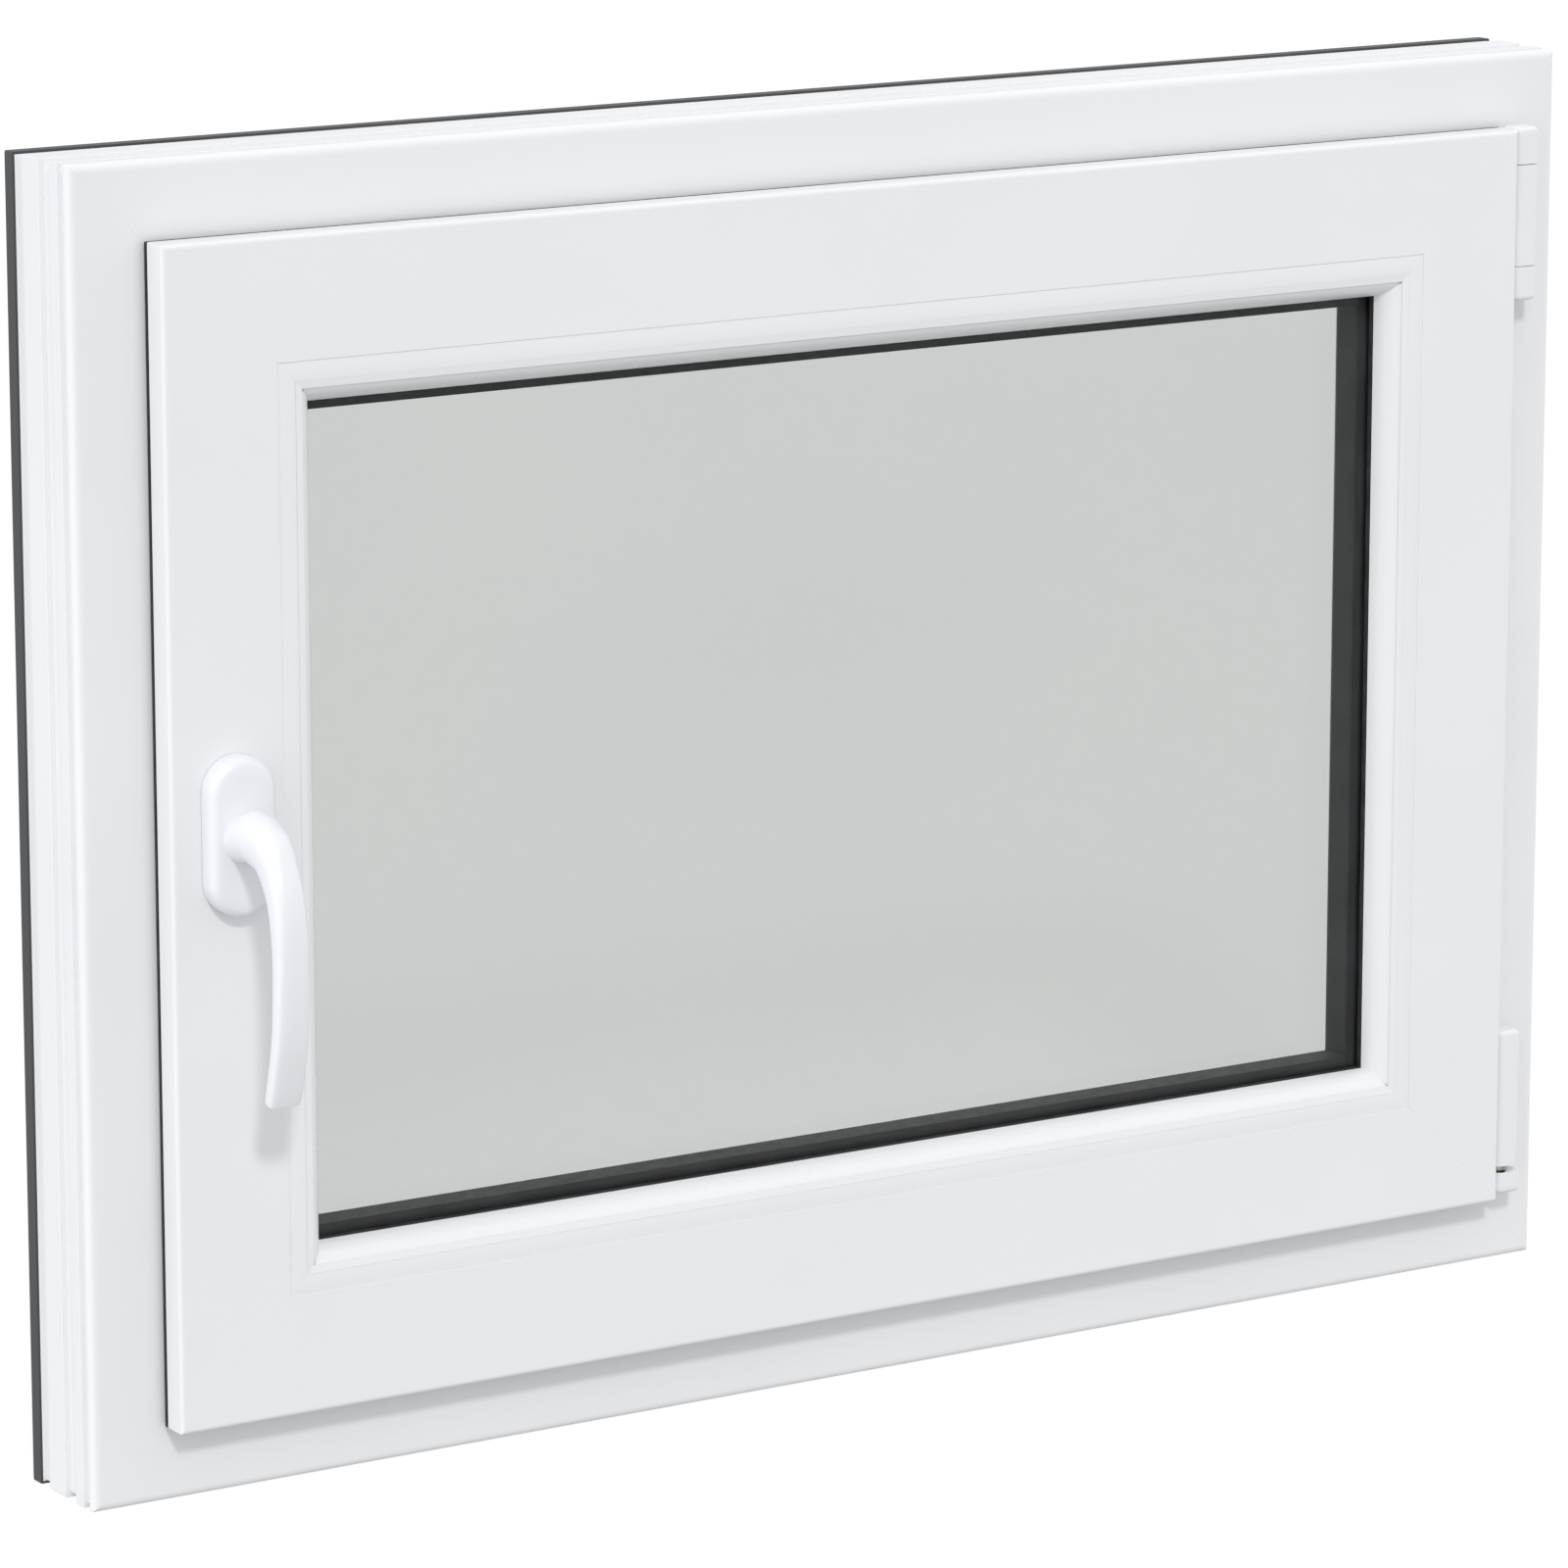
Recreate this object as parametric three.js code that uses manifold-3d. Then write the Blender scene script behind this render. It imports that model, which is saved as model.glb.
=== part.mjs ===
// A tilt-and-turn casement window, 800 x 600 mm, in white PVC-U profile with double glazing.
//
// Units are millimetres and +Z is up. The room is on the -Y side, the weather on the +Y side.
// The origin is the centre of the frame's underside: mid width, mid depth, on the sill face.
// Inside the group, the window frame is used: x from the frame's left edge, y (depth) from the
// frame's room face, z from the sill's underside. Profiles are drawn once, as [u, y] points where
// u runs inwards from the frame's outer edge, and each side of the window turns them into place.

import * as THREE from "three";
import { mergeVertices } from "three/addons/utils/BufferGeometryUtils.js";
import Module from "manifold-3d";

const wasm = await Module();
wasm.setup();

// ---- Driving dimensions ------------------------------------------------------------------

const WIDTH = 800; // outer frame
const HEIGHT = 600;
const DEPTH = 60; // outer frame, room face to weather face
const GAP = 0.3; // running gap between pieces that touch
const MITRE_GAP = 0.22; // each profile end stands back this far from its mitre plane

const SASH_EDGE = 35; // u of the sash's outer edge, where it laps over the frame
const SASH_FACE = -18; // y of the sash's room face
const SASH_BACK = 42; // y of the sash's weather face
const LAP_BACK = -4; // y of the back of the sash's lap
const FRAME_REBATE = 43; // u of the frame's rebate face
const SASH_REBATE = 55; // u of the sash's rebate face
const LIP_EDGE = 62; // u of the frame's outer lip
const LIP_FACE = 46; // y of the face of that lip, which the sash closes on
const BEAD_EDGE = 90.5; // u where the glazing bead starts
const SIGHT_LINE = 110.5; // u where the visible glass starts

const GROOVE = { from: 12, to: 28, floor: 64 }; // hardware groove in the sash's rebate face
const ROD_FACE = SASH_REBATE + 0.5; // u of the drive rods' outer face
const ROD_BACK = 57.9;
const ROD_CENTRE = (GROOVE.from + GROOVE.to) / 2; // y of the hardware's centre line
const PLATE_OUTER = 52.6; // u of the faceplates' outer face

const GLASS = { edge: 97, inner: -2, thick: 4, cavity: 16 };
const GLASS_BACK = GLASS.inner + 2 * GLASS.thick + GLASS.cavity;
const SPACER = { outer: 108, inner: 115.5 };

const HANDLE = { x: 66, z: 304 }; // spindle axis
const HANDLE_SCREWS = 21.5; // above and below the spindle
const SCREW = { shank: 2.3, head: 4.4, room: 2.8, passage: 3 }; // radii
const ROSETTE = { width: 33, height: 72, rise: 10.5, wall: 2 };
const SPINDLE = { half: 3.4, room: 5.4, passage: 6.5 }; // half its square, and two hole radii

const PINION = { teeth: 14, module: 1 };
const PITCH_RADIUS = (PINION.teeth * PINION.module) / 2;
const STROKE = Math.PI * PITCH_RADIUS; // rod travel over half a turn of the handle
const CAM_HEIGHTS = [180, 440]; // locking cams on the handle side
const TOP_CAM = 150; // x of the cam on the top rod

const HINGE = { x: 770, y: -12 }; // turn axis, upright
const TILT_Z = 43; // height of the tilt axis, through the ball of the lower hinge
const PIN = 2; // radius of the hinge pins
const KNUCKLE = 3.4; // radius of the metal eyes inside the white covers

// Heights of the hinge pieces, from the bottom up.
const LOWER_HINGE = {
  block: [37.7, 48.5],
  bush: [39.2, 48.2],
  collar: [49.8, 51.4],
  cover: [51.7, 120.5],
  band: [53.5, 100],
};
const UPPER_HINGE = { cap: [482, 498.6], bearing: [498.9, 547.7] };
const STAY = {
  reach: 250, // from the turn axis to the pin at the arm's tip
  tipPin: [541, 550.5],
  cover: [548, 566],
  eye: [548.3, 564.4],
  strip: [549.5, 552],
  crank: [549.5, 556],
};

// ---- Finishes ----------------------------------------------------------------------------

const finish = (color, roughness, metalness = 0) =>
  new THREE.MeshStandardMaterial({ color, roughness, metalness });

const whitePvc = () => finish(0xe6e8ea, 0.35);
const whiteLacquer = () => finish(0xeceef2, 0.3);
const zincSteel = () => finish(0xb4b6b0, 0.45, 0.9);
const hardSteel = () => finish(0x8c8a7c, 0.4, 0.95);
const blackRubber = () => finish(0x2b2d2f, 0.7);
const anthracite = () => finish(0x4a4d50, 0.5);
const greyGlass = () => finish(0xc9cbc8, 0.1);
const nylon = () => finish(0x3a3d40, 0.5);

// ---- Solids ------------------------------------------------------------------------------

function manifoldOf(geometry) {
  const bare = geometry.index ? geometry.toNonIndexed() : geometry.clone();
  bare.deleteAttribute("normal");
  bare.deleteAttribute("uv");
  const merged = mergeVertices(bare, 1e-4);
  return new wasm.Manifold(
    new wasm.Mesh({
      numProp: 3,
      vertProperties: merged.attributes.position.array,
      triVerts: new Uint32Array(merged.index.array),
    }),
  );
}

function geometryOf(manifold) {
  const mesh = manifold.getMesh();
  const geometry = new THREE.BufferGeometry();
  geometry.setAttribute("position", new THREE.BufferAttribute(mesh.vertProperties, 3));
  geometry.setIndex(new THREE.BufferAttribute(mesh.triVerts, 1));
  geometry.computeVertexNormals();
  return geometry;
}

function join(...geometries) {
  return geometryOf(geometries.map(manifoldOf).reduce((whole, piece) => whole.add(piece)));
}

function cut(geometry, ...cutters) {
  return geometryOf(
    cutters.map(manifoldOf).reduce((whole, cutter) => whole.subtract(cutter), manifoldOf(geometry)),
  );
}

function box([x0, x1], [y0, y1], [z0, z1]) {
  return new THREE.BoxGeometry(x1 - x0, y1 - y0, z1 - z0).translate(
    (x0 + x1) / 2,
    (y0 + y1) / 2,
    (z0 + z1) / 2,
  );
}

// An upright round bar at x, y.
function uprightBar(x, y, radius, [z0, z1], sides = 16) {
  return new THREE.CylinderGeometry(radius, radius, z1 - z0, sides)
    .rotateX(Math.PI / 2)
    .translate(x, y, (z0 + z1) / 2);
}

// A round bar that runs from the room to the weather side at x, z.
function throughBar(x, z, radius, [y0, y1], sides = 16) {
  return new THREE.CylinderGeometry(radius, radius, y1 - y0, sides).translate(x, (y0 + y1) / 2, z);
}

// A round bar that runs across the window at y, z.
function crossBar(y, z, radius, [x0, x1], sides = 12) {
  return new THREE.CylinderGeometry(radius, radius, x1 - x0, sides)
    .rotateZ(Math.PI / 2)
    .translate((x0 + x1) / 2, y, z);
}

// A closed outline from [a, b] or [a, b, radius] corners; a radius rounds its corner.
function outline(corners, holes = []) {
  const shape = new THREE.Shape();
  corners.forEach(([a, b, radius = 0], i) => {
    const corner = new THREE.Vector2(a, b);
    const before = new THREE.Vector2(...corners.at(i - 1).slice(0, 2));
    const after = new THREE.Vector2(...corners[(i + 1) % corners.length].slice(0, 2));
    const start = corner.clone().add(before.sub(corner).setLength(radius));
    const end = corner.clone().add(after.sub(corner).setLength(radius));
    if (i === 0) shape.moveTo(start.x, start.y);
    else shape.lineTo(start.x, start.y);
    if (radius > 0) shape.quadraticCurveTo(a, b, end.x, end.y);
  });
  shape.holes = holes.map((hole) => outline(hole));
  return shape;
}

const rectangle = ([a0, a1], [b0, b1], radius = 0) => [
  [a0, b0, radius],
  [a1, b0, radius],
  [a1, b1, radius],
  [a0, b1, radius],
];

function extrude(shape, depth, curveSegments = 3) {
  return new THREE.ExtrudeGeometry(shape, { depth, bevelEnabled: false, curveSegments });
}

// An outline in x, y raised from z0 to z1.
function upright(shape, [z0, z1], curveSegments) {
  return extrude(shape, z1 - z0, curveSegments).translate(0, 0, z0);
}

// An outline in x, z that runs from y0 to y1.
function through(shape, [y0, y1], curveSegments) {
  return extrude(shape, y1 - y0, curveSegments)
    .rotateX(Math.PI / 2)
    .translate(0, y1, 0);
}

// A solid skinned over rings of points: capped at both ends, or closed on itself.
function skin(rings, closed = false) {
  const count = rings[0].length;
  const positions = rings.flat().flatMap((p) => [p.x, p.y, p.z]);
  const indices = [];
  const spans = closed ? rings.length : rings.length - 1;
  for (let r = 0; r < spans; r++) {
    const next = (r + 1) % rings.length;
    for (let k = 0; k < count; k++) {
      const l = (k + 1) % count;
      const [a, b, c, d] = [r * count + k, r * count + l, next * count + l, next * count + k];
      indices.push(a, b, c, a, c, d);
    }
  }
  for (let k = 1; k < count - 1 && !closed; k++) {
    const last = (rings.length - 1) * count;
    indices.push(0, k + 1, k, last, last + k, last + k + 1);
  }
  const geometry = new THREE.BufferGeometry();
  geometry.setAttribute("position", new THREE.Float32BufferAttribute(positions, 3));
  geometry.setIndex(indices);
  geometry.computeVertexNormals();
  return geometry;
}

// ---- The window's four sides -------------------------------------------------------------

// A piece on a side is drawn as on the handle side: x is u, y is depth, z runs along the side.
const SIDES = {
  handle_side: { turn: 0, corner: [0, 0, 0], length: HEIGHT },
  top: { turn: Math.PI / 2, corner: [0, 0, HEIGHT], length: WIDTH },
  hinge_side: { turn: Math.PI, corner: [WIDTH, 0, HEIGHT], length: HEIGHT },
  bottom: { turn: -Math.PI / 2, corner: [WIDTH, 0, 0], length: WIDTH },
};

const casement = new THREE.Group();
casement.position.set(-WIDTH / 2, -DEPTH / 2, 0);

function add(name, geometry, material, side = SIDES.handle_side) {
  const mesh = new THREE.Mesh(geometry, material);
  mesh.name = name;
  mesh.rotation.y = side.turn;
  mesh.position.set(...side.corner);
  casement.add(mesh);
  return mesh;
}

// A hollow profile whose two ends are mitred at the window's corners.
function mitred({ corners, chambers }, length) {
  const geometry = extrude(outline(corners), 1);
  const at = geometry.getAttribute("position");
  for (let i = 0; i < at.count; i++) {
    const setBack = at.getX(i) + MITRE_GAP;
    at.setZ(i, at.getZ(i) < 0.5 ? setBack : length - setBack);
  }
  return cut(geometry, ...chambers.map(([us, ys]) => box(us, ys, [0, length])));
}

// A profile that runs round all four sides in one piece.
function ring(profile) {
  const corners = [
    (u, y) => new THREE.Vector3(u, y, u),
    (u, y) => new THREE.Vector3(u, y, HEIGHT - u),
    (u, y) => new THREE.Vector3(WIDTH - u, y, HEIGHT - u),
    (u, y) => new THREE.Vector3(WIDTH - u, y, u),
  ];
  return skin(
    corners.map((corner) => profile.map(([u, y]) => corner(u, y))),
    true,
  );
}

// ---- Outer frame -------------------------------------------------------------------------

// Steel tubes in the main chambers; each stops short of the frame's outer corner by its end.
const FRAME_STEEL = { u: [9.3, 39.7], y: [19.3, 40.7], wall: 2, end: 45 };
const SASH_STEEL = { u: [67.3, 87.2], y: [4.3, 38.7], wall: 2, end: 95 };

function frameProfile() {
  const wallSide = [
    [0, 52.3],
    [2, 52.3],
    [2, 43.5],
    [0, 43.5],
    [0, 28],
    [2.5, 28],
    [2.5, 18],
    [0, 18],
    [0, 10.5],
    [2, 10.5],
    [2, 5],
    [0, 5],
  ];
  const corners = [
    [0, 0, 4],
    [FRAME_REBATE, 0, 3],
    [FRAME_REBATE, LIP_FACE],
    [LIP_EDGE - 1, LIP_FACE],
    [LIP_EDGE, LIP_FACE + 1],
    [LIP_EDGE - 3, DEPTH, 1.5],
    [0, DEPTH],
    ...wallSide,
  ];
  const chambers = [
    [[8, 40], [3, 16]],
    [[9, 40], [19, 41]],
    [[7, 40], [44, 57]],
    [[46, 57.5], [49, 57]],
  ];
  return { corners, chambers };
}

// A steel tube inside a profile's main chamber.
function steelTube({ u: [u0, u1], y: [y0, y1], wall, end }, length) {
  const bar = upright(outline(rectangle([u0, u1], [y0, y1], 2)), [end, length - end], 2);
  return cut(bar, box([u0 + wall, u1 - wall], [y0 + wall, y1 - wall], [0, length]));
}

function addFrame() {
  const names = { handle_side: "handle_jamb", top: "head", hinge_side: "hinge_jamb", bottom: "sill" };
  for (const [key, side] of Object.entries(SIDES)) {
    add("frame_" + names[key], mitred(frameProfile(), side.length), whitePvc(), side);
    add("frame_steel_" + names[key], steelTube(FRAME_STEEL, side.length), zincSteel(), side);
  }
  const rebateGasket = [
    [54.5, LIP_FACE - GAP],
    [54.5, 43.4],
    [57, SASH_BACK + GAP],
    [60, 43.4],
    [60.5, LIP_FACE - GAP],
  ];
  add("frame_rebate_gasket", ring(rebateGasket), blackRubber());
}

// Slotted caps over the water outlets on the weather face of the sill.
function addDrainCaps() {
  const cap = { width: 44, height: 14, rise: 4, z: 26, fromCorner: 160 };
  const shape = outline(rectangle([-cap.width / 2, cap.width / 2], [-cap.height / 2, cap.height / 2], 4));
  const places = { left: cap.fromCorner, right: WIDTH - cap.fromCorner };
  for (const [side, x] of Object.entries(places)) {
    const body = through(shape, [DEPTH + GAP, DEPTH + cap.rise]).translate(x, 0, cap.z);
    add("drain_cap_" + side, body, anthracite());
  }
}

// ---- Sash --------------------------------------------------------------------------------

function sashProfile() {
  const corners = [
    [SASH_EDGE, SASH_FACE, 3],
    [BEAD_EDGE, SASH_FACE, 0.8],
    [BEAD_EDGE, GLASS_BACK + 3],
    [SIGHT_LINE - 0.8, GLASS_BACK + 3, 1],
    [SIGHT_LINE - 11, SASH_BACK, 2],
    [SASH_REBATE, SASH_BACK, 1],
    [SASH_REBATE, GROOVE.to],
    [GROOVE.floor, GROOVE.to],
    [GROOVE.floor, GROOVE.from],
    [SASH_REBATE, GROOVE.from],
    [SASH_REBATE, LAP_BACK],
    [SASH_EDGE, LAP_BACK, 1],
  ];
  const chambers = [
    [[38.5, 55], [SASH_FACE + 3, LAP_BACK - 3]],
    [[58, 87.5], [SASH_FACE + 3, 1]],
    [[67, 87.5], [4, 39]],
    [[58, 64], [31, 39]],
    [[90.5, 99], [28, 39]],
  ];
  return { corners, chambers };
}

// Room made in the handle side's profile and steel for the gearbox, the spindle and its screws.
function lockCutters(pocketFront) {
  const { reach, wide, tall } = GEARBOX;
  const pocket = box(
    [GROOVE.floor - 1, reach + 2 * GAP],
    [ROD_CENTRE - wide / 2 - GAP - pocketFront, ROD_CENTRE + wide / 2 + GAP + pocketFront],
    [HANDLE.z - tall / 2 - 1, HANDLE.z + tall / 2 + 1],
  );
  const toGearbox = [SASH_FACE - 1, ROD_CENTRE - wide / 2 + 1];
  return [
    pocket,
    throughBar(HANDLE.x, HANDLE.z, SPINDLE.passage, toGearbox, 12),
    throughBar(HANDLE.x, HANDLE.z + HANDLE_SCREWS, SCREW.passage, toGearbox, 8),
    throughBar(HANDLE.x, HANDLE.z - HANDLE_SCREWS, SCREW.passage, toGearbox, 8),
  ];
}

function addSash() {
  for (const [key, side] of Object.entries(SIDES)) {
    const onHandleSide = key === "handle_side";
    const profile = mitred(sashProfile(), side.length);
    const steel = steelTube(SASH_STEEL, side.length);
    add("sash_profile_" + key, onHandleSide ? cut(profile, ...lockCutters(0)) : profile, whitePvc(), side);
    add("sash_steel_" + key, onHandleSide ? cut(steel, ...lockCutters(1)) : steel, zincSteel(), side);
  }
}

// ---- Glazing -----------------------------------------------------------------------------

function beadProfile() {
  const inner = BEAD_EDGE + GAP;
  const seat = GLASS.inner - 3; // back of the bead, where its gasket sits
  return {
    corners: [
      [inner, SASH_FACE + 0.6, 0.4],
      [inner + 7, SASH_FACE + 0.1, 3],
      [inner + 13.2, SASH_FACE + 1, 3],
      [SIGHT_LINE - 1.2, seat - 5.5, 3],
      [SIGHT_LINE, seat],
      [inner + 9, seat],
      [inner + 9, seat + 1.5],
      [inner, seat + 1.5],
    ],
    chambers: [[[inner + 2.5, inner + 10], [SASH_FACE + 5.5, seat - 2.5]]],
  };
}

function addBeads() {
  for (const [key, side] of Object.entries(SIDES)) {
    add("glazing_bead_" + key, mitred(beadProfile(), side.length), whitePvc(), side);
  }
}

function pane(front) {
  return box(
    [GLASS.edge, WIDTH - GLASS.edge],
    [front, front + GLASS.thick],
    [GLASS.edge, HEIGHT - GLASS.edge],
  );
}

function addGlazing() {
  const cavityFront = GLASS.inner + GLASS.thick;
  const cavity = [cavityFront + GAP, cavityFront + GLASS.cavity - GAP];
  add("inner_pane", pane(GLASS.inner), greyGlass());
  add("outer_pane", pane(cavityFront + GLASS.cavity), greyGlass());
  add("spacer_bar", ring(rectangle([SPACER.outer, SPACER.inner], cavity)), anthracite());
  add("edge_seal", ring(rectangle([GLASS.edge + 1, SPACER.outer - GAP], cavity)), blackRubber());

  const room = [GLASS.inner - 3 + GAP, GLASS.inner - GAP];
  const weather = [GLASS_BACK + GAP, GLASS_BACK + 3 - GAP];
  add("inner_glazing_gasket", ring(rectangle([103, SIGHT_LINE + 0.5], room)), blackRubber());
  add("outer_glazing_gasket", ring(rectangle([101, SIGHT_LINE - 0.2], weather)), blackRubber());

  const block = { length: 80, fromCorner: 150 };
  const places = { left: block.fromCorner, right: WIDTH - block.fromCorner - block.length };
  for (const [side, x] of Object.entries(places)) {
    const body = box(
      [x, x + block.length],
      [GLASS.inner + 0.5, GLASS_BACK],
      [BEAD_EDGE + GAP, GLASS.edge - GAP],
    );
    add("setting_block_" + side, body, nylon());
  }
}

// The soft seal on the back of the sash's lap. The hinges pass behind it on the hinge side, so
// there it is a shorter straight piece of its own.
function addLapGaskets() {
  const back = -GAP;
  const lip = SASH_EDGE + 0.15;
  const profile = [
    [lip, LAP_BACK + GAP],
    [43, LAP_BACK + GAP],
    [43, back],
    [41, back],
    [lip, -1.6],
  ];
  const hingeRun = [LOWER_HINGE.band[1] + 5, STAY.tipPin[0] + 1];
  const whole = ring(profile);
  const opening = box([WIDTH - 44, WIDTH - SASH_EDGE], [-5, 1], [44, HEIGHT - 44]);
  add("lap_gasket", cut(whole, opening), blackRubber());
  const straight = upright(outline(profile), hingeRun);
  add("lap_gasket_hinge_side", straight, blackRubber(), {
    turn: Math.PI,
    corner: [WIDTH, 0, hingeRun[0] + hingeRun[1]],
  });
}

// ---- Lock gear in the sash ---------------------------------------------------------------

const GEARBOX = { reach: 80, wide: 14, tall: 64, front: 60.2, hub: 8.7, hubDepth: [15.4, 24.6] };

// Straight-flanked gear teeth, as half widths at the tooth's tip and root.
const TOOTH = { tip: 0.3, root: 0.9, addendum: 0.9, dedendum: 1.2 };

function pinionOutline() {
  const points = [];
  for (let i = 0; i < PINION.teeth; i++) {
    // A gap, not a tooth, faces the rack.
    const centre = Math.PI + ((i + 0.5) / PINION.teeth) * 2 * Math.PI;
    const rootRadius = PITCH_RADIUS - TOOTH.dedendum;
    const tipRadius = PITCH_RADIUS + TOOTH.addendum;
    for (const [radius, half] of [
      [rootRadius, -TOOTH.root],
      [tipRadius, -TOOTH.tip],
      [tipRadius, TOOTH.tip],
      [rootRadius, TOOTH.root],
    ]) {
      const angle = centre + half / radius;
      points.push([HANDLE.x + radius * Math.cos(angle), HANDLE.z + radius * Math.sin(angle)]);
    }
  }
  const square = SPINDLE.half + GAP;
  return outline(points, [
    rectangle([HANDLE.x - square, HANDLE.x + square], [HANDLE.z - square, HANDLE.z + square]),
  ]);
}

// The side rod's outline in x, z: a flat bar with a rack beside the pinion.
function driveRodOutline() {
  const pitch = Math.PI * PINION.module;
  const pitchLine = HANDLE.x - PITCH_RADIUS;
  const tip = pitchLine + TOOTH.addendum;
  const teeth = [];
  for (let i = -2; i <= Math.ceil(STROKE / pitch) + 2; i++) {
    const centre = HANDLE.z + i * pitch;
    teeth.push(
      [ROD_BACK, centre - TOOTH.root],
      [tip, centre - TOOTH.tip],
      [tip, centre + TOOTH.tip],
      [ROD_BACK, centre + TOOTH.root],
    );
  }
  return outline([[ROD_FACE, 90], [ROD_BACK, 90], ...teeth, [ROD_BACK, 510], [ROD_FACE, 510]]);
}

const rodWidth = [GROOVE.from + 1, GROOVE.to - 1];
const CAM = { stem: 3.4, head: 4.6, face: 47, neck: 49 }; // two radii, and two heights above u = 0

// A faceplate over the hardware groove, slotted where cams and pins pass through it.
function faceplate([z0, z1], slots) {
  const plateWidth = [GROOVE.from - 2, GROOVE.to + 2];
  const half = CAM.stem + 1.2;
  const plate = box([PLATE_OUTER, SASH_REBATE - GAP], plateWidth, [z0, z1]);
  const openings = slots.map((slot) =>
    box([PLATE_OUTER - 1, SASH_REBATE + 1], [ROD_CENTRE - half, ROD_CENTRE + half], slot),
  );
  return cut(plate, ...openings);
}

// A mushroom-headed locking cam, drawn on the handle side at height z.
function cam(z, foot) {
  const stem = crossBar(ROD_CENTRE, z, CAM.stem, [CAM.neck - 1, foot]);
  const head = crossBar(ROD_CENTRE, z, CAM.head, [CAM.face, CAM.neck]);
  return join(stem, head);
}

function addLockGear() {
  const { reach, wide, tall, front, hub, hubDepth } = GEARBOX;
  const depth = [ROD_CENTRE - wide / 2, ROD_CENTRE + wide / 2];
  const chamber = throughBar(HANDLE.x, HANDLE.z, hub, hubDepth);
  const mouth = box([front - 1, HANDLE.x], hubDepth, [HANDLE.z - hub, HANDLE.z + hub]);
  const body = box([front, reach], depth, [HANDLE.z - tall / 2, HANDLE.z + tall / 2]);
  const screwHoles = [-HANDLE_SCREWS, HANDLE_SCREWS].map((dz) =>
    throughBar(HANDLE.x, HANDLE.z + dz, SCREW.room, [depth[0] - 1, depth[1] + 1], 8),
  );
  const spindleHole = throughBar(HANDLE.x, HANDLE.z, SPINDLE.room, [depth[0] - 1, depth[1] + 1]);
  add("gearbox_case", cut(body, chamber, mouth, spindleHole, ...screwHoles), zincSteel());

  const slotOf = (z) => [z - STROKE - 5, z + 5];
  add("faceplate_handle_side", faceplate([80, 520], CAM_HEIGHTS.map(slotOf)), zincSteel());
  add("drive_rod", through(driveRodOutline(), rodWidth), zincSteel());
  CAM_HEIGHTS.forEach((z, i) => {
    add("locking_cam_" + ["lower", "upper"][i], cam(z, ROD_FACE - GAP), hardSteel());
  });

  // Along the top, z runs with x: the stay arm's pin has a slot of its own there.
  const stayX = HINGE.x - STAY.reach;
  const topSlots = [slotOf(TOP_CAM), [stayX - 9, stayX + 12]];
  add("faceplate_top", faceplate([80, 600], topSlots), zincSteel(), SIDES.top);
  const topBar = box([ROD_FACE, ROD_BACK], rodWidth, [90, 480]);
  add("top_drive_rod", join(topBar, cam(TOP_CAM, ROD_FACE + 1)), zincSteel(), SIDES.top);
}

// Keeps on the frame: a plate with a wall on the weather side that the cam draws up to.
function addStrikers() {
  const face = FRAME_REBATE + GAP;
  const plate = { top: face + 2, front: GROOVE.from - 2, back: GROOVE.to + 1 };
  const wall = { top: 50, front: plate.back - 3 };
  const keep = outline([
    [face, plate.front],
    [plate.top, plate.front],
    [plate.top, wall.front],
    [wall.top, wall.front],
    [wall.top, plate.back],
    [face, plate.back],
  ]);
  const spanOf = (z) => [z - STROKE - 14, z + 14];
  CAM_HEIGHTS.forEach((z, i) => {
    add("striker_" + ["lower", "upper"][i], upright(keep, spanOf(z)), zincSteel());
  });
  add("striker_head", upright(keep, spanOf(TOP_CAM)), zincSteel(), SIDES.top);
}

// ---- Handle ------------------------------------------------------------------------------

// A stadium of the given size, centred on the spindle, in the x, z plane.
const stadium = (width, height) =>
  outline(
    rectangle(
      [HANDLE.x - width / 2, HANDLE.x + width / 2],
      [HANDLE.z - height / 2, HANDLE.z + height / 2],
      width / 2 - 0.01,
    ),
  );

function addRosette() {
  const back = SASH_FACE - GAP;
  const front = back - ROSETTE.rise;
  const mid = (back + front) / 2;
  const neckHole = throughBar(HANDLE.x, HANDLE.z, SPINDLE.passage, [front - 1, back + 1]);
  const inner = stadium(ROSETTE.width - 2 * ROSETTE.wall, ROSETTE.height - 2 * ROSETTE.wall);
  const cover = join(
    through(stadium(ROSETTE.width, ROSETTE.height), [mid, back], 6),
    through(stadium(ROSETTE.width - 3, ROSETTE.height - 3), [front, mid + 1], 6),
  );
  const cavity = through(inner, [back - 6, back + 1], 6);
  add("rosette_cover", cut(cover, cavity, neckHole), whiteLacquer());

  const holes = [-HANDLE_SCREWS, HANDLE_SCREWS].map((dz) =>
    throughBar(HANDLE.x, HANDLE.z + dz, SCREW.room, [back - 6, back + 1], 8),
  );
  const plate = stadium(ROSETTE.width - 2 * ROSETTE.wall - 1, ROSETTE.height - 2 * ROSETTE.wall - 1);
  const base = through(plate, [back - 3, back], 6);
  add("rosette_base", cut(base, neckHole, ...holes), nylon());

  [-HANDLE_SCREWS, HANDLE_SCREWS].forEach((dz, i) => {
    const shank = throughBar(HANDLE.x, HANDLE.z + dz, SCREW.shank, [back - 4, 26], 8);
    const head = throughBar(HANDLE.x, HANDLE.z + dz, SCREW.head, [back - 5.6, back - 3 - GAP], 12);
    add("handle_screw_" + ["lower", "upper"][i], join(shank, head), zincSteel());
  });
}

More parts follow.
